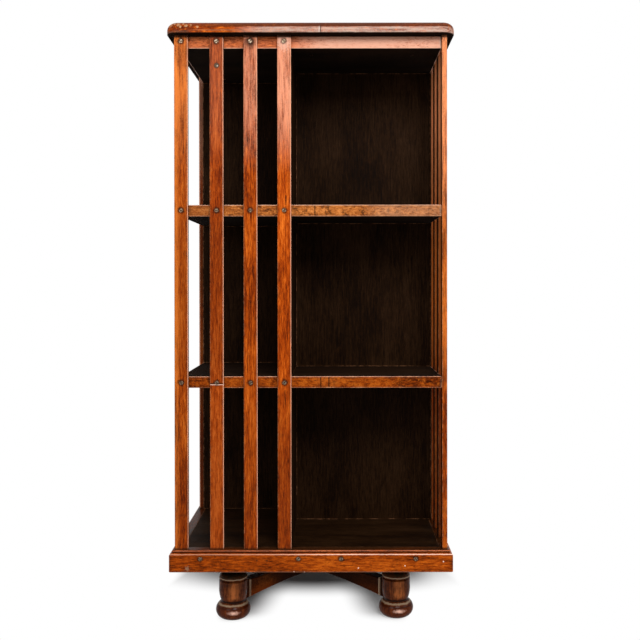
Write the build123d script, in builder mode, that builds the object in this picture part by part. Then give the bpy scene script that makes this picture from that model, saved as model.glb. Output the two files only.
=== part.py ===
from build123d import *
from math import cos, radians, sin
import os

# A revolving bookcase, in millimetres, with +Z up.
# The origin is on the floor, on the axis that the case turns about. The front face looks along -Y.

# Case: outside of the slats, square in plan, with the top and the plinth standing out beyond them
case_size = 500
top_overhang = 13.5
plinth_overhang = 9

# Heights, from the floor upwards
case_underside = 117
plinth_height = 40
lower_tier = 295
middle_tier = 295
upper_tier = 288
shelf_thickness = 21
inner_top_thickness = 22
top_thickness = 22
bottom_board_thickness = 22

# Slats, which stand at the left of each face
slat_width = 25
slat_thickness = 9
slat_pitch = 62
spaced_slats = 3
slat_edge_round = 1.2
tenon_width = 9
tenon_thickness = 5
tenon_length = 10

# Dividers, set like a pinwheel round a square column
column_inside = 72
divider_thickness = 12

# Edges
top_edge_round = 14
top_lower_round = 1.5
top_corner_round = 22
shelf_edge_round = 1

# Plinth rail and its moulding, a bead and a groove under a rounded lip
rail_thickness = 22
moulding_height = 9.5
moulding_depth = 6.5
bead_height = 4.2
bead_depth = 4.2
groove_width = 2.4
groove_depth = 0.8
rail_foot_round = 3

# Base: two arched bars, half-lapped, and a turned foot at each end
base_turn = 1.6
foot_circle_radius = 223
bar_thickness = 22
bar_top = 66
bar_middle_underside = 43
bar_end_underside = 29
bar_end_to_foot_axis = 12
bar_shoulder_to_foot_axis = 34
bar_tenon_thickness = 18
bar_edge_chamfer = 1.5

# Foot: a flattened ball and a short neck under a barrel, with a turned groove below the domed top
foot_height = 88
foot_sole_radius = 17
ball_radius = 33.3
ball_height = 32
neck_radius = 23.5
neck_height = 2.5
barrel_waist_radius = 26.2
barrel_waist_height = 44
barrel_radius = 27.3
barrel_swell_height = 60
foot_groove_height = 74.5
foot_groove_depth = 1.4
foot_groove_half_width = 2
foot_shoulder_height = 78
foot_crown_radius = 17

# Spindle, its socket on the base and its two bearings in the case
spindle_radius = 14
pivot_radius = 7
pivot_length = 24
running_clearance = 0.05
pivot_end_gap = 0.05
hub_radius = 52
hub_height = 32
hub_edge_round = 4
socket_flange_radius = 36
socket_flange_thickness = 6
socket_barrel_radius = 21
socket_barrel_height = 14
bush_flange_radius = 36
bush_flange_thickness = 5
bush_sleeve_radius = 19
bush_sleeve_length = 20
cup_flange_radius = 34
cup_flange_thickness = 6
cup_boss_radius = 14
cup_boss_length = 16
cup_floor = 5
shelf_spindle_hole_radius = 20

# Countersunk screws with a slot, and the small clearance round everything let into wood
screw_head_radius = 3.7
screw_shank_radius = 1.8
slot_width = 1
slot_depth = 1
slot_turn_step = 37
fit_clearance = 0.1
slat_screw_length = 28
plinth_screw_length = 35
plinth_screw_height = 25
plinth_screw_places = (-202, -23, 55, 191)
socket_screw_length = 24
bush_screw_length = 20
cup_screw_length = 18
top_screw_length = 34
top_screw_inset = 50

# Worked out from the sizes above
plinth_top = case_underside + plinth_height
shelf_lower_underside = plinth_top + lower_tier
shelf_lower_top = shelf_lower_underside + shelf_thickness
shelf_upper_underside = shelf_lower_top + middle_tier
shelf_upper_top = shelf_upper_underside + shelf_thickness
inner_top_underside = shelf_upper_top + upper_tier
top_underside = inner_top_underside + inner_top_thickness
top_size = case_size + 2 * top_overhang
plinth_size = case_size + 2 * plinth_overhang
shelf_size = case_size - 2 * slat_thickness
column_half = column_inside / 2
bottom_board_size = plinth_size - 2 * rail_thickness
bottom_board_underside = plinth_top - bottom_board_thickness
hub_top = bar_top + hub_height
socket_flange_top = hub_top + socket_flange_thickness
bush_underside = bottom_board_underside - bush_flange_thickness
cup_underside = inner_top_underside - cup_flange_thickness
cup_floor_underside = inner_top_underside - cup_floor
pivot_top = cup_floor_underside - pivot_end_gap
bar_half_length = foot_circle_radius - bar_end_to_foot_axis
bar_tenon_length = bar_shoulder_to_foot_axis - bar_end_to_foot_axis
bar_tenon_middle = foot_circle_radius - (bar_shoulder_to_foot_axis + bar_end_to_foot_axis) / 2
lap_height = (bar_top + bar_middle_underside) / 2

faces = {"front": 0, "right": 90, "back": 180, "left": 270}
feet = {"back_right": 45, "back_left": 135, "front_left": 225, "front_right": 315}
tiers = {
    "lower": (plinth_top, lower_tier),
    "middle": (shelf_lower_top, middle_tier),
    "upper": (shelf_upper_top, upper_tier),
}
last_slat_left = -column_half - slat_width
slat_lefts = [-case_size / 2] + [
    last_slat_left - slat_pitch * place for place in reversed(range(spaced_slats))
]
slat_centres = [left + slat_width / 2 for left in slat_lefts]
slat_screw_heights = [
    inner_top_underside + inner_top_thickness / 2,
    shelf_upper_underside + shelf_thickness / 2,
    shelf_lower_underside + shelf_thickness / 2,
]


def face_plane(turn, distance):
    """The upright plane of one side of the case, seen from outside: x to the right, y up."""
    angle = radians(turn)
    outward = Vector(sin(angle), -cos(angle), 0)
    return Plane(origin=outward * distance, x_dir=(cos(angle), sin(angle), 0), z_dir=outward)


def section_plane(turn):
    """The upright plane through the axis that cuts one side across: x outwards, y up."""
    angle = radians(turn)
    outward = Vector(sin(angle), -cos(angle), 0)
    return Plane(origin=(0, 0, 0), x_dir=outward, z_dir=outward.cross(Vector(0, 0, 1)))


def bar_plane(angle, distance=0):
    """An upright plane along one bar of the base: x outwards from the axis or a foot, y up."""
    turned = radians(angle + base_turn)
    outward = Vector(cos(turned), sin(turned), 0)
    return Plane(origin=outward * distance, x_dir=outward, z_dir=outward.cross(Vector(0, 0, 1)))


def spots(plane, points):
    """Places on a plane, square to it."""
    return [plane.location * Location((x, y, 0)) for x, y in points]


def ring_points(radius, count, start):
    """Points of a circle of screws."""
    turns = [radians(start + 360 * n / count) for n in range(count)]
    return [(radius * cos(turn), radius * sin(turn)) for turn in turns]


def add_screws(places, length):
    """Countersunk screws with their heads flush at each place, each slot turned on from the last."""
    top = (Align.CENTER, Align.CENTER, Align.MAX)
    head_height = screw_head_radius - screw_shank_radius
    for number, place in enumerate(places):
        with Locations(place):
            Cylinder(screw_shank_radius, length, align=top)
            Cone(screw_shank_radius, screw_head_radius, head_height, align=top)
            Box(
                2 * screw_head_radius,
                slot_width,
                slot_depth,
                rotation=(0, 0, slot_turn_step * number),
                align=top,
                mode=Mode.SUBTRACT,
            )


def drill_for_screws(places, length=None):
    """Countersunk holes for the screws, through the piece or to a stated depth."""
    with Locations(*places):
        CounterSinkHole(
            screw_shank_radius + fit_clearance, screw_head_radius + fit_clearance, depth=length
        )


def drill_pilots(places, length):
    """Plain holes for the screws' shanks, from the face where two pieces meet."""
    with Locations(*places):
        CounterSinkHole(
            screw_shank_radius + fit_clearance, screw_shank_radius + fit_clearance, depth=length
        )


os.makedirs("parts", exist_ok=True)


def save(builder, name):
    """Labels a finished piece and writes it."""
    builder.part.label = name
    export_step(builder.part, f"parts/{name}.step")


# Cross bars of the base
def cross_bar(angle, notch_from_top):
    """One arched bar, with a tenon at each end and notched at the middle for the half-lap."""
    with BuildPart() as bar:
        with BuildSketch(bar_plane(angle)):
            with BuildLine():
                ThreePointArc(
                    (-bar_half_length, bar_end_underside),
                    (0, bar_middle_underside),
                    (bar_half_length, bar_end_underside),
                )
                Polyline(
                    (bar_half_length, bar_end_underside),
                    (bar_half_length, bar_top),
                    (-bar_half_length, bar_top),
                    (-bar_half_length, bar_end_underside),
                )
            make_face()
        extrude(amount=bar_thickness / 2, both=True)
        with BuildSketch(Plane.XY.rotated((0, 0, angle + base_turn))):
            for end in (-bar_tenon_middle, bar_tenon_middle):
                for side in (-bar_thickness / 2, bar_thickness / 2):
                    with Locations((end, side)):
                        Rectangle(bar_tenon_length, bar_thickness - bar_tenon_thickness)
        extrude(amount=bar_top, mode=Mode.SUBTRACT)
        with BuildSketch(Plane.XY.offset(lap_height)):
            Rectangle(bar_thickness, 2 * bar_thickness, rotation=angle + base_turn)
        extrude(amount=bar_top if notch_from_top else -bar_top, mode=Mode.SUBTRACT)
        chamfer(bar.edges().filter_by(lambda edge: edge.length > bar_half_length / 2), bar_edge_chamfer)
    return bar


bar_angles = {"cross_bar_lower": 45, "cross_bar_upper": 135}
cross_bar_lower = cross_bar(bar_angles["cross_bar_lower"], True)
cross_bar_upper = cross_bar(bar_angles["cross_bar_upper"], False)
save(cross_bar_lower, "cross_bar_lower")
save(cross_bar_upper, "cross_bar_upper")


# Turned feet, each with a mortise that its bar's tenon fills
def turned_foot(angle):
    """One foot, turned about its own upright axis."""
    groove_top = foot_groove_height + foot_groove_half_width
    groove_foot = foot_groove_height - foot_groove_half_width
    with BuildPart() as foot:
        with BuildSketch(bar_plane(angle, foot_circle_radius)):
            with BuildLine():
                Polyline((0, foot_height), (0, 0), (foot_sole_radius, 0))
                ThreePointArc(
                    (foot_sole_radius, 0), (ball_radius, ball_height / 2), (neck_radius, ball_height)
                )
                Line((neck_radius, ball_height), (neck_radius, ball_height + neck_height))
                ThreePointArc(
                    (neck_radius, ball_height + neck_height),
                    (barrel_waist_radius, barrel_waist_height),
                    (barrel_radius, barrel_swell_height),
                )
                Polyline(
                    (barrel_radius, barrel_swell_height),
                    (barrel_radius, groove_foot),
                    (barrel_radius - foot_groove_depth, foot_groove_height),
                    (barrel_radius, groove_top),
                    (barrel_radius, foot_shoulder_height),
                )
                EllipticalCenterArc(
                    (foot_crown_radius, foot_shoulder_height),
                    barrel_radius - foot_crown_radius,
                    foot_height - foot_shoulder_height,
                    arc_size=90,
                )
                Line((foot_crown_radius, foot_height), (0, foot_height))
            make_face()
        revolve(axis=Axis(bar_plane(angle, foot_circle_radius).origin, (0, 0, 1)))
        add(cross_bar_lower.part, mode=Mode.SUBTRACT)
        add(cross_bar_upper.part, mode=Mode.SUBTRACT)
    return foot


for place, angle in feet.items():
    save(turned_foot(angle), f"foot_{place}")


# Hub block on the crossing of the bars
socket_screw_places = spots(
    Plane.XY.offset(socket_flange_top),
    ring_points((socket_flange_radius + socket_barrel_radius) / 2, 4, base_turn),
)
with BuildPart() as hub_block:
    with BuildSketch(Plane.XY.offset(bar_top)):
        Circle(hub_radius)
        Circle(spindle_radius + running_clearance, mode=Mode.SUBTRACT)
    extrude(amount=hub_height)
    fillet(hub_block.edges().filter_by(GeomType.CIRCLE).sort_by(SortBy.RADIUS)[-2:], hub_edge_round)
    drill_pilots(socket_screw_places, socket_screw_length)
save(hub_block, "hub_block")

# Iron socket that holds the spindle upright
with BuildPart() as spindle_socket:
    with BuildSketch(Plane.XY.offset(hub_top)):
        Circle(socket_flange_radius)
    extrude(amount=socket_flange_thickness)
    with BuildSketch(Plane.XY.offset(socket_flange_top)):
        Circle(socket_barrel_radius)
    extrude(amount=socket_barrel_height)
    with Locations((0, 0, socket_flange_top)):
        Hole(spindle_radius + running_clearance)
    drill_for_screws(socket_screw_places)
save(spindle_socket, "spindle_socket")

with BuildPart() as socket_screws:
    add_screws(socket_screw_places, socket_screw_length)
save(socket_screws, "socket_screws")

# Spindle, stepped down to the pivot that carries the case
with BuildPart() as spindle:
    with BuildSketch(Plane.XY.offset(bar_top)):
        Circle(spindle_radius)
    extrude(amount=pivot_top - pivot_length - bar_top)
    chamfer(spindle.edges().sort_by(Axis.Z)[-1], (spindle_radius - pivot_radius) / 2)
    with BuildSketch(Plane.XY.offset(pivot_top - pivot_length)):
        Circle(pivot_radius)
    extrude(amount=pivot_length)
    chamfer(spindle.edges().sort_by(Axis.Z)[-1], 1)
save(spindle, "spindle")

# Bottom board, with the guide bush let into it from below
bush_screw_places = spots(
    Plane((0, 0, bush_underside), z_dir=(0, 0, -1)),
    ring_points((bush_flange_radius + bush_sleeve_radius) / 2, 4, 45),
)
plinth_screw_points = [(place, case_underside + plinth_screw_height) for place in plinth_screw_places]
with BuildPart() as bottom_board:
    with BuildSketch(Plane.XY.offset(bottom_board_underside)):
        Rectangle(bottom_board_size, bottom_board_size)
        Circle(bush_sleeve_radius + fit_clearance, mode=Mode.SUBTRACT)
    extrude(amount=bottom_board_thickness)
    drill_pilots(bush_screw_places, bush_screw_length)
    for turn in faces.values():
        drill_pilots(spots(face_plane(turn, plinth_size / 2), plinth_screw_points), plinth_screw_length)
save(bottom_board, "bottom_board")

with BuildPart() as guide_bush:
    with BuildSketch(Plane.XY.offset(bush_underside)):
        Circle(bush_flange_radius)
    extrude(amount=bush_flange_thickness)
    with BuildSketch(Plane.XY.offset(bottom_board_underside)):
        Circle(bush_sleeve_radius)
    extrude(amount=bush_sleeve_length)
    with Locations((0, 0, bottom_board_underside)):
        Hole(spindle_radius + running_clearance)
    drill_for_screws(bush_screw_places)
save(guide_bush, "guide_bush")

with BuildPart() as bush_screws:
    add_screws(bush_screw_places, bush_screw_length)
save(bush_screws, "bush_screws")


# Plinth rails, mitred at the corners, with mortises for the slats' tenons
def plinth_rail(turn):
    """One rail: its section run along the side, then cut to a wedge of the plan."""
    outside = plinth_size / 2
    inside = outside - rail_thickness
    face_top = plinth_top - moulding_height
    bead_top = (outside - bead_depth, face_top + bead_height)
    groove_foot = (bead_top[0] - groove_depth, bead_top[1])
    groove_top = (groove_foot[0], groove_foot[1] + groove_width)
    lip = (outside - moulding_depth, plinth_top)
    with BuildPart() as rail:
        with BuildSketch(section_plane(turn)):
            with BuildLine():
                Line((inside, case_underside), (outside - rail_foot_round, case_underside))
                JernArc((outside - rail_foot_round, case_underside), (1, 0), rail_foot_round, 90)
                Line((outside, case_underside + rail_foot_round), (outside, face_top))
                RadiusArc((outside, face_top), bead_top, -bead_height)
                Polyline(bead_top, groove_foot, groove_top)
                RadiusArc(groove_top, lip, -moulding_depth / 2)
                Polyline(lip, (inside, plinth_top), (inside, case_underside))
            make_face()
        extrude(amount=outside, both=True)
        with BuildSketch(Plane.XY.offset(case_underside).rotated((0, 0, turn))):
            Polygon((0, 0), (-outside, -outside), (outside, -outside), align=None)
        extrude(amount=plinth_height, mode=Mode.INTERSECT)
        for side in faces.values():
            mortise_face = case_size / 2 - (slat_thickness - tenon_thickness) / 2 + fit_clearance
            with BuildSketch(face_plane(side, mortise_face)):
                with Locations(*[(centre, plinth_top) for centre in slat_centres]):
                    Rectangle(tenon_width + 2 * fit_clearance, 2 * (tenon_length + fit_clearance))
            extrude(amount=-tenon_thickness - 2 * fit_clearance, mode=Mode.SUBTRACT)
        drill_for_screws(spots(face_plane(turn, outside), plinth_screw_points), plinth_screw_length)
    return rail


for side, turn in faces.items():
    save(plinth_rail(turn), f"plinth_{side}")

with BuildPart() as plinth_screws:
    for turn in faces.values():
        add_screws(spots(face_plane(turn, plinth_size / 2), plinth_screw_points), plinth_screw_length)
save(plinth_screws, "plinth_screws")


# Shelves and the inner top, drilled for the slats' screws
def slat_screw_places(turn, heights):
    """Places of the slats' screws on one face of the case."""
    points = [(centre, height) for height in heights for centre in slat_centres]
    return spots(face_plane(turn, case_size / 2), points)


def edge_drilled_board(underside, thickness, centre_hole_radius):
    """A square board whose edges take the slats' screws."""
    with BuildPart() as board:
        with BuildSketch(Plane.XY.offset(underside)):
            Rectangle(shelf_size, shelf_size)
            if centre_hole_radius:
                Circle(centre_hole_radius, mode=Mode.SUBTRACT)
        extrude(amount=thickness)
        outline = board.faces().filter_by(Axis.Z, reverse=True).filter_by(GeomType.PLANE).edges()
        fillet(outline.filter_by(Axis.Z, reverse=True), shelf_edge_round)
        for turn in faces.values():
            drill_pilots(slat_screw_places(turn, [underside + thickness / 2]), slat_screw_length)
    return board


shelf_lower = edge_drilled_board(shelf_lower_underside, shelf_thickness, shelf_spindle_hole_radius)
shelf_upper = edge_drilled_board(shelf_upper_underside, shelf_thickness, shelf_spindle_hole_radius)
save(shelf_lower, "shelf_lower")
save(shelf_upper, "shelf_upper")

cup_screw_places = spots(
    Plane((0, 0, cup_underside), z_dir=(0, 0, -1)),
    ring_points((cup_flange_radius + cup_boss_radius) / 2, 4, 45),
)
inset = shelf_size / 2 - top_screw_inset
top_screw_places = spots(
    Plane((0, 0, inner_top_underside), z_dir=(0, 0, -1)),
    [(x, y) for x in (-inset, 0, inset) for y in (-inset, 0, inset) if x or y],
)
inner_top = edge_drilled_board(inner_top_underside, inner_top_thickness, None)
with inner_top:
    drill_pilots(cup_screw_places, cup_screw_length)
    drill_for_screws(top_screw_places, top_screw_length)
save(inner_top, "inner_top")

# Cup that hangs the case on the spindle's pivot
with BuildPart() as pivot_cup:
    with BuildSketch(Plane.XY.offset(cup_underside)):
        Circle(cup_flange_radius)
    extrude(amount=cup_flange_thickness)
    with BuildSketch(Plane.XY.offset(cup_underside)):
        Circle(cup_boss_radius)
    extrude(amount=-cup_boss_length)
    with BuildSketch(Plane.XY.offset(cup_floor_underside)):
        Circle(pivot_radius + running_clearance)
    extrude(amount=cup_underside - cup_boss_length - cup_floor_underside, mode=Mode.SUBTRACT)
    drill_for_screws(cup_screw_places)
save(pivot_cup, "pivot_cup")

with BuildPart() as cup_screws:
    add_screws(cup_screw_places, cup_screw_length)
save(cup_screws, "cup_screws")

# Top board, screwed on from below
with BuildPart() as top_board:
    with BuildSketch(Plane.XY.offset(top_underside)):
        RectangleRounded(top_size, top_size, top_corner_round)
    extrude(amount=top_thickness)
    fillet(top_board.faces().sort_by(Axis.Z)[0].edges(), top_lower_round)
    fillet(top_board.faces().sort_by(Axis.Z)[-1].edges(), top_edge_round)
    drill_pilots(top_screw_places, top_screw_length)
save(top_board, "top_board")

with BuildPart() as top_screws:
    add_screws(top_screw_places, top_screw_length)
save(top_screws, "top_screws")


# Dividers: each runs from behind the last slat of its face to the next divider's side
def divider(turn, underside, height):
    """One divider of one tier."""
    with BuildPart() as board:
        with BuildSketch(face_plane(turn, shelf_size / 2)):
            with Locations((-column_half - divider_thickness / 2, underside + height / 2)):
                Rectangle(divider_thickness, height)
        extrude(amount=-shelf_size / 2 - column_half)
    return board


for tier, (underside, height) in tiers.items():
    for side, turn in faces.items():
        save(divider(turn, underside, height), f"divider_{tier}_{side}")


# Slats, tenoned into the plinth and screwed to the edges of the boards
def slat(turn, left):
    """One slat, with its two outer long edges rounded."""
    centre = left + slat_width / 2
    outer = face_plane(turn, case_size / 2)
    with BuildPart() as strip:
        with BuildSketch(outer):
            with Locations((centre, (plinth_top + top_underside) / 2)):
                Rectangle(slat_width, top_underside - plinth_top)
        extrude(amount=-slat_thickness)
        outer_face = strip.faces().sort_by(Axis((0, 0, 0), outer.z_dir))[-1]
        fillet(outer_face.edges().filter_by(Axis.Z), slat_edge_round)
        with BuildSketch(face_plane(turn, case_size / 2 - (slat_thickness - tenon_thickness) / 2)):
            with Locations((centre, plinth_top - tenon_length / 2)):
                Rectangle(tenon_width, tenon_length)
        extrude(amount=-tenon_thickness)
        drill_for_screws(spots(outer, [(centre, height) for height in slat_screw_heights]))
    return strip


for side, turn in faces.items():
    for number, left in enumerate(slat_lefts, start=1):
        save(slat(turn, left), f"slat_{side}_{number}")
    with BuildPart() as slat_screws:
        add_screws(slat_screw_places(turn, slat_screw_heights), slat_screw_length)
    save(slat_screws, f"slat_screws_{side}")
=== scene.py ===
from math import radians

import bpy
from mathutils import Matrix, Vector


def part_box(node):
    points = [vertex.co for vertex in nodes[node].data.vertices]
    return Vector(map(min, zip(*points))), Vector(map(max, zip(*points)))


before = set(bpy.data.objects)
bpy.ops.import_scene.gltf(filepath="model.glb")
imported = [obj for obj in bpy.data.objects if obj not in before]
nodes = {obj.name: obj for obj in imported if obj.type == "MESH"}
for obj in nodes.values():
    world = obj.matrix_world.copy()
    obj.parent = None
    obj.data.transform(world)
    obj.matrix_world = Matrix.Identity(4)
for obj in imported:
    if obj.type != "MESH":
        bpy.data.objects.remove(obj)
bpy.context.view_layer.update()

scene = bpy.context.scene

# Camera: at the photograph's place, level with the middle tier and a little to the right of the axis.
# The focal length and the centre are in pixels of the photograph, and the angles in degrees.
PHOTO_SIZE = 640
PHOTO_CENTRE = (337.09, 284.77)
FOCAL_LENGTH = 864.37
SENSOR_WIDTH = 36
CAMERA_PLACE = (0.0482, -1.833, 0.6465)
CAMERA_TILT = 90 - 0.17
CAMERA_ROLL = -0.064

camera_data = bpy.data.cameras.new("camera")
camera_data.sensor_width = SENSOR_WIDTH
camera_data.lens = FOCAL_LENGTH / PHOTO_SIZE * SENSOR_WIDTH
camera_data.shift_x = (PHOTO_SIZE / 2 - PHOTO_CENTRE[0]) / PHOTO_SIZE
camera_data.shift_y = (PHOTO_CENTRE[1] - PHOTO_SIZE / 2) / PHOTO_SIZE
camera = bpy.data.objects.new("camera", camera_data)
scene.collection.objects.link(camera)
camera.matrix_world = (
    Matrix.Translation(CAMERA_PLACE)
    @ Matrix.Rotation(radians(CAMERA_TILT), 4, "X")
    @ Matrix.Rotation(radians(CAMERA_ROLL), 4, "Z")
)
scene.camera = camera


class Tree:
    """Builds a node tree. Each call returns the output that the next one uses."""

    def __init__(self, tree):
        self.tree = tree
        self.tree.nodes.clear()

    def put(self, socket, value):
        """Links an output to a socket, or sets the socket to a plain value."""
        if isinstance(value, bpy.types.NodeSocket):
            self.tree.links.new(value, socket)
        elif socket.type == "RGBA":
            socket.default_value = (*value, 1)
        else:
            socket.default_value = value

    def node(self, kind, inputs=None, **settings):
        made = self.tree.nodes.new(kind)
        for key, value in settings.items():
            setattr(made, key, value)
        for key, value in (inputs or {}).items():
            self.put(made.inputs[key], value)
        return made

    def math(self, operation, *values):
        return self.node("ShaderNodeMath", dict(enumerate(values)), operation=operation).outputs[0]

    def fold(self, operation, first, *others):
        """One value from several, taken in one after the other."""
        for other in others:
            first = self.math(operation, first, other)
        return first

    def add(self, *values):
        return self.fold("ADD", *values)

    def sub(self, *values):
        return self.fold("SUBTRACT", *values)

    def mul(self, *values):
        return self.fold("MULTIPLY", *values)

    def least(self, *values):
        return self.fold("MINIMUM", *values)

    def most(self, *values):
        return self.fold("MAXIMUM", *values)

    def absolute(self, value):
        return self.math("ABSOLUTE", value)

    def length(self, *values):
        """Square root of the sum of the squares."""
        return self.math("SQRT", self.add(*(self.mul(value, value) for value in values)))

    def white_rays(self):
        """1 for the rays that see the floor and the world as plain white, so that metal and glass do too."""
        rays = self.node("ShaderNodeLightPath").outputs
        return self.most(rays["Is Camera Ray"], rays["Is Glossy Ray"], rays["Is Transmission Ray"])


class Net(Tree):
    """One material. Its coordinates are the part's own, in metres: x, y, z, radial, which is the distance from
    the case's axis, and out, which is the same all along a square round that axis."""

    def __init__(self, name):
        self.material = bpy.data.materials.new(name)
        self.material.use_nodes = True
        super().__init__(self.material.node_tree)
        self.point = self.node("ShaderNodeTexCoord").outputs["Object"]
        self.x, self.y, self.z = self.node("ShaderNodeSeparateXYZ", {0: self.point}).outputs
        self.out = self.most(self.absolute(self.x), self.absolute(self.y))
        self.radial = self.length(self.x, self.y)

    def stretch(self, scale, offset):
        """The coordinates, moved and then scaled."""
        moved = self.node("ShaderNodeVectorMath", {0: self.point, 1: offset}, operation="ADD").outputs[0]
        return self.node("ShaderNodeVectorMath", {0: moved, 1: scale}, operation="MULTIPLY").outputs[0]

    def noise(self, vector, scale, detail=4, roughness=0.6, distortion=0.0):
        inputs = {
            "Vector": vector,
            "Scale": scale,
            "Detail": detail,
            "Roughness": roughness,
            "Distortion": distortion,
        }
        return self.node("ShaderNodeTexNoise", inputs).outputs[0]

    def sway(self, noise, width):
        """A noise that goes both ways from zero, over a width."""
        return self.mul(self.sub(noise, 0.5), width)

    def step(self, value, start, end, low=0.0, high=1.0):
        """Smooth step of value, low at start and high at end."""
        inputs = {0: value, 1: start, 2: end, 3: low, 4: high}
        return self.node("ShaderNodeMapRange", inputs, interpolation_type="SMOOTHSTEP").outputs[0]

    def ramp(self, value, places, colours):
        made = self.node("ShaderNodeValToRGB", {0: value})
        elements = made.color_ramp.elements
        while len(elements) < len(places):
            elements.new(0.5)
        for element, place, colour in zip(elements, places, colours):
            element.position = place
            element.color = (*colour, 1)
        return made.outputs[0]

    def mix(self, factor, a, b, blend="MIX"):
        """Colour a with colour b over it. The node's colours are its inputs 6 and 7 and its output 2."""
        settings = {"data_type": "RGBA", "blend_type": blend, "clamp_result": True}
        return self.node("ShaderNodeMix", {0: factor, 6: a, 7: b}, **settings).outputs[2]

    def distance(self, place):
        """Distance from a place, which is pairs of an axis and the coordinate there."""
        return self.length(*(self.sub(getattr(self, axis), where) for axis, where in place))

    def edge_distance(self, low, high):
        """How far a point of a box's skin is from the nearest edge of the box."""
        near = [
            self.absolute(self.least(self.sub(axis, a), self.sub(b, axis)))
            for axis, a, b in zip((self.x, self.y, self.z), low, high)
        ]
        return self.sub(self.add(*near), self.least(*near), self.most(*near))

    def finish(self, colour, roughness, height, bump, depth, constants):
        """The shader, with the constants set on it directly rather than linked. The constants are set on it
        directly, because the export drops them when they are linked.
        """
        bumped = self.node("ShaderNodeBump", {"Strength": bump, "Distance": depth, "Height": height})
        inputs = {"Base Color": colour, "Roughness": roughness, "Normal": bumped.outputs[0], **constants}
        shader = self.node("ShaderNodeBsdfPrincipled", inputs)
        self.node("ShaderNodeOutputMaterial", {0: shader.outputs[0]})
        return self.material


# Tones of the wood, each from dark to light
SLAT = ((0.04, 0.005, 0.0003), (0.2, 0.025, 0.0008), (0.4, 0.064, 0.0018), (0.68, 0.16, 0.012))
UPPER = ((0.05, 0.014, 0.003), (0.2, 0.048, 0.007), (0.38, 0.11, 0.018), (0.58, 0.21, 0.05))
LOWER = ((0.033, 0.005, 0.0004), (0.14, 0.021, 0.001), (0.27, 0.045, 0.002), (0.42, 0.1, 0.008))
PLINTH = ((0.034, 0.005, 0.0004), (0.14, 0.02, 0.0007), (0.29, 0.044, 0.0014), (0.5, 0.105, 0.006))
# INNER_SHADED is dark wood with painted shade: the inside of the case, nearly black
INNER_SHADED = ((0.003, 0.0012, 0.0005), (0.008, 0.003, 0.001), (0.016, 0.0065, 0.0022), (0.027, 0.012, 0.005))
DARK = ((0.012, 0.002, 0.0005), (0.05, 0.009, 0.001), (0.12, 0.025, 0.004), (0.28, 0.075, 0.014))

# Colours of the wear and dirt, and of painted light and shade
WORN = (0.72, 0.33, 0.16)
GRIME = (0.025, 0.009, 0.003)
# SOOT_AND_SHADE is also painted shade: in creases, grooves, slots and recesses, and under the top board
SOOT_AND_SHADE = (0.01, 0.003, 0.001)
# DUST_AND_HIGHLIGHT is partly a painted highlight, on the feet's ledges and where a bar meets a foot
DUST_AND_HIGHLIGHT = (0.42, 0.3, 0.19)
RED_BROWN = (0.12, 0.02, 0.002)
BLACK_BROWN = (0.012, 0.003, 0.001)

# Sizes of the wear and dirt, in metres
JITTER = 0.003
RUBBED_EDGE = (0.0014, 0.0003)
GRUBBY_EDGE = (0.006, 0.0018)
SCREW_HEAD = 0.0036
CRACK_END = 0.002

# How much shorter the flecks and the broad clouds are drawn along the grain than across it
FLECK_RUN = 0.14
BROAD_RUN = 0.25

VARNISH_IOR = 1.5


def grain_noises(net, grain, figure, offset):
    """Keeps the noises of a piece of wood on its net."""

    def drawn(run, shift=offset):
        scale = [1.0, 1.0, 1.0]
        scale[grain] = run
        return net.stretch(scale, shift)

    net.still = net.stretch((1, 1, 1), offset)
    net.streak = net.noise(drawn(figure), 320, detail=6, roughness=0.7, distortion=0.5)
    net.fibre = net.noise(drawn(figure), 850, roughness=0.65, distortion=0.3)
    net.flame = net.noise(drawn(figure, offset[2:] + offset[:2]), 260, detail=5, roughness=0.65, distortion=1.2)
    net.fleck = net.noise(drawn(FLECK_RUN), 430, distortion=0.4)
    net.pores = net.step(net.noise(drawn(FLECK_RUN), 1300, detail=2, roughness=0.5), 0.6, 0.72)
    net.broad = net.noise(drawn(BROAD_RUN), 20, detail=3, roughness=0.5, distortion=0.6)
    net.blotch = net.noise(net.still, 60)
    net.grit = net.noise(net.still, 520, detail=3, roughness=0.65)
    net.jitter = net.sway(net.noise(net.still, 260, roughness=0.65), JITTER)


def stains_and_painted_light(net, colour, washes, patches, screws, cracks, dots):
    """Lays the marks that the varnish's wear goes over: stains, grime and cracks, and washes and patches, some of
    which are painted light and shade.
    """
    clouds = net.add(net.mul(net.streak, 0.5), net.mul(net.grit, 0.2), net.mul(net.broad, 0.3))
    cloudy = net.step(clouds, 0.38, 0.55, low=0.15)
    for limits, strength, shade in washes:
        cover = cloudy
        for axis, outside, inside in limits:
            cover = net.mul(cover, net.step(net.add(getattr(net, axis), net.jitter), outside, inside))
        colour = net.mix(net.mul(cover, strength), colour, shade)
    for place, size, strength, shade in patches:
        cloud = net.add(net.distance(place), net.sway(net.noise(net.still, 330, roughness=0.7), size * 3))
        colour = net.mix(net.step(cloud, size, size * 0.3, high=strength), colour, shade)
    for place, size, strength in screws:
        ring = net.add(net.distance(place), net.sway(net.noise(net.still, 180, detail=3), 0.008))
        colour = net.mix(net.step(ring, size, SCREW_HEAD, high=strength), colour, SOOT_AND_SHADE)
    for place, width, (bottom, top) in cracks:
        split = net.add(net.distance(place), net.sway(net.grit, width * 1.5))
        ends = net.mul(net.step(net.z, bottom, bottom + CRACK_END), net.step(net.z, top, top - CRACK_END))
        colour = net.mix(net.mul(ends, net.step(split, width, width * 0.35, high=0.92)), colour, SOOT_AND_SHADE)
    for place, size, shade in dots:
        colour = net.mix(net.step(net.distance(place), size, size * 0.6, high=0.95), colour, shade)
    return colour


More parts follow.
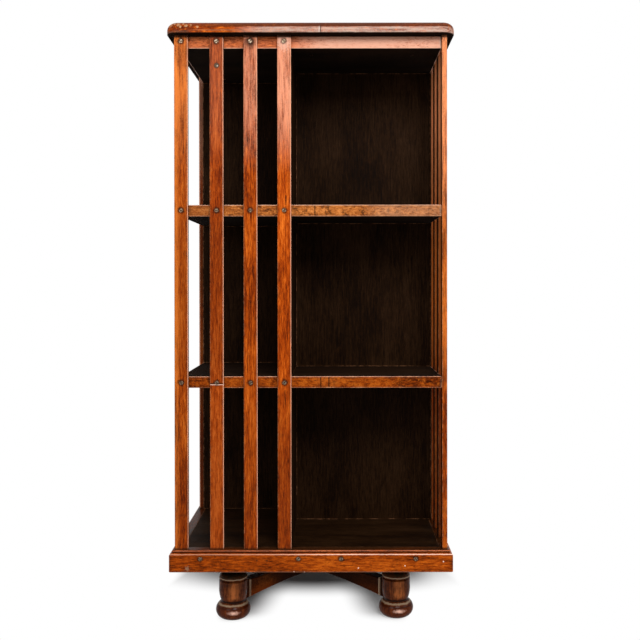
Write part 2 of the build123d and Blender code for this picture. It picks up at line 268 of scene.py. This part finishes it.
def draw_lines(net, colour, lines):
    """Draws the lines over the wear, a little uneven in place and strength."""
    slight = net.mul(net.jitter, 0.3)
    uneven = net.step(net.broad, 0.3, 0.55, low=0.6)
    for limits, strength, shade in lines:
        cover = uneven
        for axis, middle, half in limits:
            away = net.absolute(net.sub(net.add(getattr(net, axis), slight), middle))
            cover = net.mul(cover, net.step(away, half, half * 0.4))
        colour = net.mix(net.mul(cover, strength), colour, shade)
    return colour


def wood(
    name, low, high, grain, tones, seed, wear=0.6, gloss=0.34, shine=0.04, figure=0.07, tint=None, mottle=0.0,
    screws=(), patches=(), cracks=(), dots=(), lines=(), washes=(), core=None, soffit=None, darkness=1.0,
):
    """Varnished open-grained wood between two corners.

    grain is the number of the axis that it runs along, and figure the scale of the grain along it. tones go from
    dark to light, and tint multiplies them. wear is how pale the rubbed edges are, gloss the roughness of the
    varnish and shine its specular level. mottle is how strongly light and dark spots cover the wood.

    The marks, where a place is pairs of an axis and the coordinate there:
    screws: (place, size, strength) of the grime round a screw
    patches: (place, size, strength, colour) of a scuff, and on the fourth slats of a painted reflection
    cracks: (place, width, (bottom, top)) of a dark split
    dots: (place, size, colour) of a speck
    lines: ([(axis, middle, half width), ...], strength, colour) of a pale or dark line: wear, joints, painted
    highlights and painted shade
    washes: ([(axis, outside, inside), ...], strength, colour) of clouds that come in between two coordinates,
    among them painted sheens and painted shade

    Nearer than core to the axis, or at the height of soffit, the wood is unvarnished and rough, and its colour is
    darkened with painted shade, as fully as darkness says.
    """
    net = Net(name)
    offset = (seed * 0.37 % 3.1, seed * 0.73 % 2.3, seed * 1.31 % 4.7)
    grain_noises(net, grain, figure, offset)

    tone = net.add(
        net.mul(net.streak, 0.45), net.mul(net.fibre, 0.3), net.mul(net.fleck, 0.25), net.sway(net.broad, 0.35),
    )
    darkest, lightest = tones[0], tones[3]
    colour = net.ramp(tone, (0.36, 0.45, 0.52, 0.63), tones)
    colour = net.mix(net.mul(net.pores, 0.7), colour, darkest)
    colour = net.mix(net.step(net.flame, 0.55, 0.68, high=0.45), colour, darkest)
    colour = net.mix(net.step(net.blotch, 0.58, 0.78, high=0.45), colour, GRIME)
    colour = net.mix(net.step(net.grit, 0.6, 0.78, high=0.35), colour, lightest)
    if mottle:
        spots = net.noise(net.still, 130, detail=5, roughness=0.7, distortion=0.4)
        colour = net.mix(net.step(spots, 0.53, 0.64, high=mottle), colour, darkest)
        colour = net.mix(net.step(spots, 0.47, 0.36, high=mottle), colour, lightest)
    if tint:
        colour = net.mix(1.0, colour, tint, "MULTIPLY")

    ragged = net.add(net.edge_distance(low, high), net.jitter)
    rub = net.step(ragged, *RUBBED_EDGE)
    rubbed = net.mul(rub, net.step(net.noise(net.still, 75), 0.42, 0.62, low=0.08), wear)
    grubby = net.mul(net.step(ragged, *GRUBBY_EDGE, high=0.4), net.step(net.blotch, 0.35, 0.65))
    colour = net.mix(grubby, colour, GRIME)
    colour = stains_and_painted_light(net, colour, washes, patches, screws, cracks, dots)
    colour = net.mix(rubbed, colour, WORN)
    colour = draw_lines(net, colour, lines)

    roughness = net.add(net.step(net.fibre, 0.3, 0.75, gloss - 0.05, gloss + 0.12), net.mul(rubbed, 0.2))
    bare_and_shaded = None
    if core:
        bare_and_shaded = net.step(net.add(net.out, net.mul(net.jitter, 0.3)), core, core - 0.001)
    if soffit:
        bare_and_shaded = net.step(net.z, soffit + 0.0011, soffit + 0.0003)
    # painted shade over the unvarnished wood
    if bare_and_shaded:
        dark = net.ramp(tone, (0.36, 0.46, 0.58), INNER_SHADED[:3])
        colour = net.mix(net.mul(bare_and_shaded, darkness), colour, dark)
        roughness = net.most(roughness, bare_and_shaded)

    height = net.add(net.mul(net.fibre, 0.4), net.mul(net.streak, 0.4), net.mul(net.fleck, 0.3))
    height = net.sub(height, net.mul(net.pores, 0.6), net.mul(rub, 0.5))
    varnish = {"Specular IOR Level": shine, "IOR": VARNISH_IOR}
    return net.finish(colour, roughness, height, bump=0.4, depth=0.0006, constants=varnish)


# Heights on a turned foot, with the half widths and strengths of the painted shade in its creases and of the dust
# and painted highlights on its ledges
CREASES = ((0.0345, 0.0030, 0.9), (0.0245, 0.0022, 0.75), (0.0745, 0.0016, 0.6))
LEDGE_DUST_AND_HIGHLIGHTS = ((0.0293, 0.0020, 0.75), (0.0786, 0.0014, 0.8))
SWELL_HEIGHT = 0.057
BUN_TOP = (0.031, 0.027)
HIGHLIGHT_SPOT_HEIGHT = 0.0178
DOME_FOOT = (0.0795, 0.0812)
BAR_SHOULDER = 0.1975  # distance from the case's axis at which a bar meets a foot


def turned_wood(name, middle, seed):
    """Dark glossy turned wood about the foot's x of middle, with painted shade in the creases and on its top under
    the plinth, dust and painted highlights on the ledges, and painted highlights down the barrel's front and on
    the bun's front."""
    net = Net(name)
    offset = (seed * 0.41 % 2.9, seed * 0.77 % 3.7, seed * 1.13 % 4.1)
    still = net.stretch((1, 1, 1), offset)
    streak = net.noise(net.stretch((1, 1, 0.12), offset), 200, detail=6, roughness=0.7, distortion=0.5)
    fibre = net.noise(net.stretch((1, 1, 0.1), offset), 700)
    lathe = net.noise(net.stretch((0.05, 0.05, 1), offset), 600, detail=2, roughness=0.5)
    blotch = net.noise(still, 90, roughness=0.65)
    tone = net.add(net.mul(streak, 0.5), net.mul(fibre, 0.2), net.mul(blotch, 0.3))
    colour = net.ramp(tone, (0.36, 0.46, 0.55, 0.68), DARK)
    across = net.absolute(net.sub(net.x, middle + 0.004))
    above_swell = net.absolute(net.sub(net.z, SWELL_HEIGHT))
    # a painted highlight down the barrel's front
    painted_swell_highlight = net.mul(net.step(across, 0.016, 0.001), net.step(above_swell, 0.021, 0.012))
    colour = net.mix(net.mul(painted_swell_highlight, net.step(tone, 0.36, 0.56, low=0.2, high=0.85)), colour, (0.42, 0.12, 0.03))
    ragged = net.add(net.z, net.sway(net.noise(still, 130), JITTER))
    # painted shade in the creases
    for height, width, strength in CREASES:
        away = net.absolute(net.sub(ragged, height))
        colour = net.mix(net.step(away, width, width * 0.4, high=strength), colour, SOOT_AND_SHADE)
    # painted shade on the foot's top under the plinth
    dome_shade = net.mix(net.step(blotch, 0.4, 0.6), (0.03, 0.02, 0.01), (0.07, 0.02, 0.006))
    colour = net.mix(net.step(ragged, *DOME_FOOT, high=0.92), colour, dome_shade)
    # dust and a painted highlight on the ledges
    for height, width, strength in LEDGE_DUST_AND_HIGHLIGHTS:
        away = net.absolute(net.sub(ragged, height))
        colour = net.mix(net.step(away, width, width * 0.3, high=strength), colour, DUST_AND_HIGHLIGHT)
    colour = net.mix(net.step(ragged, *BUN_TOP, high=0.4), colour, (0.06, 0.009, 0.002))
    # a painted highlight on the bun's front
    painted_highlight_spot = net.length(across, net.mul(net.sub(net.z, HIGHLIGHT_SPOT_HEIGHT), 3))
    painted_highlight_spot = net.add(painted_highlight_spot, net.sway(net.noise(still, 260, roughness=0.7), 0.016))
    colour = net.mix(net.step(painted_highlight_spot, 0.015, 0.0, high=0.85), colour, (0.85, 0.5, 0.38))
    # dust and a painted highlight where a bar meets the foot
    joint = net.step(net.absolute(net.sub(net.radial, BAR_SHOULDER)), 0.0032, 0.001, high=0.9)
    joint = net.mul(joint, net.step(ragged, 0.034, 0.037))
    colour = net.mix(joint, colour, DUST_AND_HIGHLIGHT)
    roughness = net.step(blotch, 0.35, 0.7, 0.2, 0.38)
    height = net.add(net.mul(fibre, 0.4), net.mul(lathe, 0.4))
    varnish = {
        "Coat Weight": 0.12,
        "Coat Roughness": 0.18,
        "Coat IOR": 1.4,
        "Specular IOR Level": 0.02,
        "IOR": VARNISH_IOR,
    }
    return net.finish(colour, roughness, height, bump=0.25, depth=0.0005, constants=varnish)


def metal(name, colour, dull, roughness, seed, clean_above=None, slot=None):
    """Old metal with tarnish in clouds and fine scratches. It is dirtier below clean_above, and painted shade
    darkens it where it is nearer to the axis than slot, in the screws' slots."""
    net = Net(name)
    offset = (seed * 0.3, seed * 0.7, seed * 0.1)
    still = net.stretch((1, 1, 1), offset)
    cloud = net.noise(still, 420)
    scratch = net.noise(net.stretch((1, 0.08, 1), offset), 2600, detail=3)
    shade = net.mix(net.step(cloud, 0.4, 0.56), colour, dull)
    shade = net.mix(net.step(scratch, 0.55, 0.7, high=0.35), shade, dull)
    if clean_above:
        dirt = net.step(net.z, clean_above, clean_above - 0.05, high=0.6)
        dirt = net.mul(dirt, net.step(net.noise(still, 14, detail=2, roughness=0.5), 0.35, 0.6, low=0.7))
        shade = net.mix(dirt, shade, dull)
    if slot:
        # painted shade in the slot
        shade = net.mix(net.step(net.out, slot, slot - 0.0003), shade, SOOT_AND_SHADE)
    rough = net.step(cloud, 0.35, 0.7, roughness, roughness + 0.3)
    return net.finish(shade, rough, scratch, bump=0.25, depth=0.0002, constants={"Metallic": 0.9})


def dress(node, material):
    """Gives a CAD node its material."""
    slots = nodes[node].data.materials
    if slots:
        for index in range(len(slots)):
            slots[index] = material
    else:
        slots.append(material)


# The axis that runs to the right along each face, as seen from outside, and its sign
FACES = {"front": ("x", 1), "right": ("y", 1), "back": ("x", -1), "left": ("y", -1)}


def on_face(face, across, up):
    """A place on a face of the case: metres to the right of its middle, as seen from outside, and above the
    floor."""
    axis, sign = FACES[face]
    return ((axis, sign * across), ("z", up))


# Places on the case, in metres from its axis or above the floor
TOP_UNDERSIDE = 1.099
PLINTH_TOP = 0.157
TOP_SCREW = 1.086
PLUG = 1.0435
CROSS_SPLIT = 0.4612
SLAT_SIDE = (0.2489, 0.2478)
SLAT_BACK = 0.2422
BOARD_FRONT = 0.241
BOARD_INSIDE = 0.2404
BOARD_END = 0.2385

screw_heights = []
for board in ("shelf_lower", "shelf_upper", "inner_top"):
    low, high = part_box(board)
    screw_heights.append((low.z + high.z) / 2)

# Slats: the tint of each from the left of a face, and the strength of its three washes, which are a painted sheen
# high up and painted shade in the middle and lower down
SLAT_LOOKS = (
    ((0.73, 0.72, 0.9), 0.05, 0.3, 0.0),
    ((0.74, 0.68, 1.2), 0.1, 0.35, 0.2),
    ((0.9, 0.9, 1.2), 0.55, 0.0, 0.25),
    ((0.93, 0.86, 1.0), 0.75, 0.0, 0.55),
)


def dress_slat(face, face_number, number):
    node = f"slat_{face}_{number}"
    low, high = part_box(node)
    axis, sign = FACES[face]
    centre = sign * (getattr(low, axis) + getattr(high, axis)) / 2
    tint, painted_sheen_above, painted_shade_middle, painted_shade_below = SLAT_LOOKS[number - 1]

    screws = [(on_face(face, centre, height), 0.0085, 0.85) for height in screw_heights]
    patches, cracks, dots = [], [], []
    lines = [
        # a painted highlight along the slat's right edge
        ([(axis, sign * (centre + 0.0125), 0.0015), ("out", 0.25, 0.003)], 0.75, (0.75, 0.38, 0.24)),
        # the top board's painted shadow across the slat's top
        ([("z", TOP_UNDERSIDE, 0.0065)], 0.97, SOOT_AND_SHADE),
        ([("z", PLINTH_TOP, 0.004)], 0.7, GRIME),
    ]
    washes = [
        # a painted sheen high up, then painted shade in the middle and lower down
        ([("z", 0.84, 0.98)], painted_sheen_above, (0.7, 0.3, 0.18)),
        ([("z", 0.8, 0.74), ("z", 0.45, 0.5)], painted_shade_middle, RED_BROWN),
        ([("z", 0.5, 0.3)], painted_shade_below, RED_BROWN),
    ]
    if face == "right":
        # painted light on the right face's slats: a pinkish sheen high up and orange light above the middle
        washes = [
            ([("z", 0.7, 0.95)], 0.7, (0.74, 0.3, 0.16)),
            ([("z", 0.4, 0.6)], 0.5, (0.74, 0.2, 0.03)),
        ]
    elif number == 1:
        left_half = (axis, sign * (centre - 0.002), sign * (centre - 0.008))
        washes.append(([left_half], 0.35, (0.8, 0.22, 0.03)))
        # painted light towards the top of the slat
        washes.append(([("z", 0.8, 1.0)], 0.4, (0.76, 0.21, 0.035)))
    # painted shade on the slats' side faces, but for the right face's first slat
    if (face, number) != ("right", 1):
        washes.append(([("out", *SLAT_SIDE)], 0.7, (0.025, 0.008, 0.003)))

    if number == 2:
        dots.append((on_face(face, centre + 0.0005, PLUG), 0.0064, (0.06, 0.02, 0.008)))
        dots.append((on_face(face, centre + 0.0005, PLUG), 0.0050, (0.085, 0.06, 0.04)))
        dots.append((on_face(face, centre + 0.0020, PLUG - 0.0007), 0.0016, (0.5, 0.42, 0.34)))
        cracks.append(((("z", CROSS_SPLIT),), 0.0013, (0.45, 0.47)))
        lines.append(([("z", CROSS_SPLIT - 0.0022, 0.0011)], 0.8, (0.6, 0.42, 0.33)))
    if number == 3:
        screws.append((on_face(face, centre, TOP_SCREW), 0.016, 0.8))
    if number == 4:
        # a painted reflection round the top screw
        patches.append((on_face(face, centre, TOP_SCREW), 0.02, 0.6, (0.6, 0.36, 0.27)))
        cracks.append((((axis, sign * (centre + 0.003)),), 0.0011, (0.787, 0.807)))
        cracks.append((((axis, sign * (centre + 0.001)),), 0.0009, (0.42, 0.45)))

    seed = 3 + face_number * 7 + number
    dress(node, wood(
        node, low, high, 2, SLAT, seed, wear=0.35, gloss=0.32, tint=tint, screws=screws, patches=patches,
        cracks=cracks, dots=dots, lines=lines, washes=washes, core=SLAT_BACK, darkness=0.8,
    ))


for face_number, face in enumerate(FACES):
    for number in range(1, 5):
        dress_slat(face, face_number, number)


def dress_board(name, seed, tones, shine, mottle, washes, joints, lower, upper, end):
    """A board with joints across its front edge. lower, upper and end are how strongly pale lines are drawn along
    its edges below, above and at the right."""
    low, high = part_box(name)
    heights = (low.z - 0.01, high.z + 0.01)
    lines = [
        ([("z", low.z, 0.0014)], lower, (0.72, 0.42, 0.3)),
        ([("z", high.z, 0.0013)], upper, (0.72, 0.42, 0.3)),
        ([("x", BOARD_END, 0.0012)], end, (0.62, 0.4, 0.3)),
        # the top board's painted shadow, over the joint below it
        ([("z", TOP_UNDERSIDE, 0.001)], 0.97, SOOT_AND_SHADE),
    ]
    cracks = [((("x", across), ("y", -BOARD_FRONT)), 0.0014, heights) for across in joints]
    dress(name, wood(
        name, low, high, 0, tones, seed, wear=0.75, figure=0.3, shine=shine, mottle=mottle, cracks=cracks,
        lines=lines, washes=washes, core=BOARD_INSIDE,
    ))


# Boards
dress_board(
    "shelf_lower", 51, LOWER, shine=0.03, mottle=0.6, joints=(0.018, 0.033), lower=0.2, upper=0.5, end=0.1,
    washes=[([("x", 0.0, 0.02), ("x", 0.06, 0.04)], 0.15, (0.4, 0.12, 0.02))],
)
dress_board(
    "shelf_upper", 52, UPPER, shine=0.05, mottle=0.8, joints=(0.0075,), lower=0.3, upper=0.75, end=0.3,
    washes=[
        ([("x", 0.09, 0.14)], 0.5, (0.5, 0.24, 0.12)),
        ([("x", -0.18, -0.195)], 0.5, (0.16, 0.035, 0.006)),
    ],
)
dress_board(
    "inner_top", 53, SLAT, shine=0.06, mottle=0.2, joints=(0.2398,), lower=0.75, upper=0.0, end=0.7,
    washes=[
        ([("z", 1.07, 1.08)], 0.5, (0.66, 0.2, 0.08)),
        # a painted pinkish sheen towards the right
        ([("x", -0.06, 0.03)], 0.9, (0.62, 0.32, 0.22)),
    ],
)
low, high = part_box("bottom_board")
dress("bottom_board", wood("bottom_board", low, high, 0, INNER_SHADED, 63, wear=0.2, gloss=0.6, shine=0.02))

# Top board: RIM keeps a wash off the upper face. SCUFFS are metres across and up, and a size.
RIM = ("out", 0.24, 0.257)
SCUFFS = (
    (-0.254, 1.1145, 0.004), (-0.247, 1.1165, 0.003), (-0.240, 1.1150, 0.004), (-0.231, 1.1165, 0.003),
    (-0.226, 1.1120, 0.004), (-0.236, 1.1110, 0.003), (-0.217, 1.1140, 0.003), (-0.205, 1.1105, 0.003),
)
low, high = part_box("top_board")
washes = [
    # painted shade on the upper rounding of the edge and, weaker, over the upper face
    ([("z", 1.1165, 1.1185), RIM], 0.9, (0.08, 0.015, 0.002)),
    ([("z", 1.1165, 1.1185)], 0.45, (0.13, 0.022, 0.003)),
    ([("z", 1.1103, 1.1120), ("x", -0.2, -0.08), RIM], 1.0, (0.05, 0.012, 0.003)),
    ([("z", 1.1118, 1.1100), ("x", -0.15, -0.07)], 0.85, (0.42, 0.31, 0.25)),
    ([("z", 1.1050, 1.1035), ("x", -0.21, -0.23)], 0.9, (0.06, 0.045, 0.03)),
]
lines = [
    ([("x", 0.0162, 0.0011), ("z", 1.1055, 0.009)], 0.6, (0.62, 0.55, 0.48)),
    ([("x", 0.0188, 0.0011)], 0.9, SOOT_AND_SHADE),
    # painted shade on the underside and on the upper edge towards the right
    ([("z", TOP_UNDERSIDE, 0.0022)], 0.97, SOOT_AND_SHADE),
    ([("z", 1.1170, 0.0090), ("x", 0.1, 0.5), ("out", 0.2635, 0.014)], 0.85, (0.06, 0.012, 0.002)),
    ([("z", 1.1045, 0.0012), ("x", -0.17, 0.06)], 0.7, (0.25, 0.11, 0.05)),
]
scuffs = [((("x", across), ("z", up)), size, 0.75, (0.6, 0.35, 0.17)) for across, up, size in SCUFFS]
dress("top_board", wood(
    "top_board", low, high, 0, SLAT, 61, wear=0.4, shine=0.05, mottle=0.5, patches=scuffs, lines=lines,
    washes=washes, soffit=low.z,
))

# Plinth rails: the screws' places across a rail, the lines along it, and its specks, which are metres across
# and up, and a size
PLINTH_SCREWS = (-0.202, -0.023, 0.055, 0.191)
PLINTH_SCREW_HEIGHT = 0.142
# the bead's pale lines are a painted highlight, brighter at the right; the dark line above it is painted shade in
# the groove, and the thin pale line above that a painted highlight on the lip
BEAD = ("z", 0.1499, 0.0010)
PLINTH_LINES = [
    ([BEAD], 0.5, (0.8, 0.42, 0.26)),
    ([BEAD, ("x", 0.2, 0.32)], 0.7, (0.92, 0.6, 0.46)),
    ([("z", 0.1530, 0.0016)], 0.97, SOOT_AND_SHADE),
    ([("z", 0.1552, 0.0008)], 0.45, (0.5, 0.22, 0.13)),
    ([("z", 0.1571, 0.0012)], 0.97, GRIME),
    ([("z", 0.1180, 0.0009)], 0.5, (0.6, 0.28, 0.16)),
]
PLINTH_SCUFFS = [((("x", -0.2257), ("z", 0.124)), 0.006, 0.6, (0.3, 0.17, 0.1))]
PALE_SPECKS = (
    (0.2415, 0.1370, 0.0016), (0.0865, 0.1255, 0.0014), (-0.031, 0.1185, 0.0012), (-0.012, 0.1182, 0.0011),
    (0.1715, 0.1295, 0.0013),
)
DARK_SPECKS = ((-0.0804, 0.1392, 0.0022), (-0.099, 0.1392, 0.0022))
for number, face in enumerate(FACES):
    node = f"plinth_{face}"
    low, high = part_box(node)
    screws = [(on_face(face, across, PLINTH_SCREW_HEIGHT), 0.0075, 0.8) for across in PLINTH_SCREWS]
    specks = [
        (on_face(face, across, up), size, shade)
        for group, shade in ((PALE_SPECKS, (0.85, 0.62, 0.5)), (DARK_SPECKS, (0.09, 0.02, 0.004)))
        for across, up, size in group
    ]
    dress(node, wood(
        node, low, high, number % 2, PLINTH, 71 + number, wear=0.3, gloss=0.3, shine=0.03, figure=0.12,
        mottle=0.2, screws=screws, patches=PLINTH_SCUFFS, dots=specks, lines=PLINTH_LINES, soffit=low.z,
    ))

# Dividers
for number, node in enumerate(sorted(name for name in nodes if name.startswith("divider"))):
    low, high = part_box(node)
    dress(node, wood(node, low, high, 2, INNER_SHADED, 81 + number, wear=0.25, gloss=0.55, shine=0.02))

# Base: the bars' upper and lower edges are worn, so their boxes reach FAR past the other faces
FAR = 9
# the bars are redder low on their outer ends and darker along their tops, and painted shade darkens them towards
# the axis and on the right-hand side
BAR_WASHES = [
    ([("radial", 0.1, 0.15), ("z", 0.056, 0.036)], 0.75, (0.34, 0.06, 0.006)),
    ([("z", 0.048, 0.062)], 0.35, (0.02, 0.004, 0.001)),
    ([("radial", 0.15, 0.09)], 0.93, BLACK_BROWN),
    ([("x", 0.02, 0.07)], 0.8, BLACK_BROWN),
]
# painted shade in the recess where a bar meets a foot, and the shoulder's worn pale arris beside it
BAR_LINES = [([("radial", 0.194, 0.004)], 0.95, SOOT_AND_SHADE), ([("radial", 0.1890, 0.0019)], 0.95, (0.6, 0.42, 0.28))]
for number, node in enumerate(("cross_bar_lower", "cross_bar_upper")):
    low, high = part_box(node)
    dress(node, wood(
        node, (-FAR, -FAR, low.z), (FAR, FAR, high.z), 0, DARK, 95 + number, gloss=0.4, shine=0.02, figure=0.3,
        lines=BAR_LINES, washes=BAR_WASHES,
    ))
for number, where in enumerate(("front_left", "front_right", "back_right", "back_left")):
    node = f"foot_{where}"
    low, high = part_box(node)
    dress(node, turned_wood(node, ((low + high) / 2).x, 101 + number))
low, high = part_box("hub_block")
dress("hub_block", wood("hub_block", low, high, 0, DARK, 111, wear=0.2))

# Metal: colour, dull colour and roughness
SCREW = ((0.48, 0.38, 0.27), (0.075, 0.036, 0.018), 0.3)
IRON = ((0.09, 0.09, 0.09), (0.03, 0.028, 0.026), 0.45)
STEEL = ((0.42, 0.41, 0.4), (0.12, 0.1, 0.09), 0.35)
SLOT_DEPTH = 0.0004
FACE_SCREWS = 0.2  # only the screws in the case's faces reach further than this from its axis
for number, node in enumerate(sorted(name for name in nodes if "screws" in name)):
    low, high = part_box(node)
    heads = max(-low.x, -low.y, high.x, high.y)
    slot = heads - SLOT_DEPTH if heads > FACE_SCREWS else None
    dress(node, metal(node, *SCREW, number, clean_above=1.0, slot=slot))
iron = metal("bearing_iron", *IRON, 2)
for node in ("spindle_socket", "guide_bush", "pivot_cup"):
    dress(node, iron)
dress("spindle", metal("spindle_steel", *STEEL, 3))


def floor_material():
    """White, but for the lamps' shadow under the case and round the feet."""
    net = Net("floor")
    across = net.absolute(net.x)
    ahead = net.absolute(net.y)
    from_middle = net.length(net.mul(net.x, 0.51), net.sub(net.y, 0.16))
    past_case = net.most(net.step(from_middle, 0.1175, 0.2305), net.step(across, 0.265, 0.315))
    beside = net.sub(across, net.add(net.mul(ahead, 0.2), 0.125))
    beside = net.most(net.mul(beside, 2.4), net.mul(beside, -1))
    beyond = net.mul(net.most(net.sub(ahead, 0.135), 0.0), 1.3)
    past_feet = net.step(net.length(beside, beyond), 0.004, 0.086)
    plain = net.node("ShaderNodeBsdfDiffuse", {"Color": (0.9, 0.9, 0.9)})
    white = net.node("ShaderNodeEmission", {"Color": (1, 1, 1), "Strength": 1.0})
    fade = net.mul(past_case, past_feet, net.white_rays())
    mixed = net.node("ShaderNodeMixShader", {0: fade, 1: plain.outputs[0], 2: white.outputs[0]})
    net.node("ShaderNodeOutputMaterial", {0: mixed.outputs[0]})
    return net.material


bpy.ops.mesh.primitive_plane_add(size=12)
floor = bpy.context.object
floor.name = "floor"
floor.data.materials.append(floor_material())

# World: a weak white light, seen as plain white
WORLD_LIGHT = 0.17
scene.world = bpy.data.worlds.new("world")
scene.world.use_nodes = True
sky = Tree(scene.world.node_tree)
strengths = {"Value": sky.white_rays(), "To Min": WORLD_LIGHT, "To Max": 1.0}
strength = sky.node("ShaderNodeMapRange", strengths).outputs["Result"]
background = sky.node("ShaderNodeBackground", {"Color": (1, 1, 1), "Strength": strength})
sky.node("ShaderNodeOutputWorld", {0: background.outputs[0]})


def softbox(name, where, target, size, power):
    data = bpy.data.lights.new(name, "AREA")
    data.shape = "RECTANGLE"
    data.size, data.size_y = size
    data.energy = power
    lamp = bpy.data.objects.new(name, data)
    scene.collection.objects.link(lamp)
    lamp.location = where
    lamp.rotation_euler = (Vector(target) - Vector(where)).to_track_quat("-Z", "Y").to_euler()


softbox("key", where=(0.5, -1.9, 1.9), target=(0, 0, 0.8), size=(0.9, 0.9), power=45)
softbox("side", where=(2.2, -0.9, 1.6), target=(0, 0, 0.6), size=(0.8, 1.0), power=13)
softbox("fill", where=(-1.4, -2.4, 1.6), target=(0, 0, 0.6), size=(1.0, 0.9), power=19)
softbox("above", where=(0.2, -0.5, 2.8), target=(0, 0, 0.6), size=(1.4, 1.0), power=10)

scene.view_settings.view_transform = "Standard"
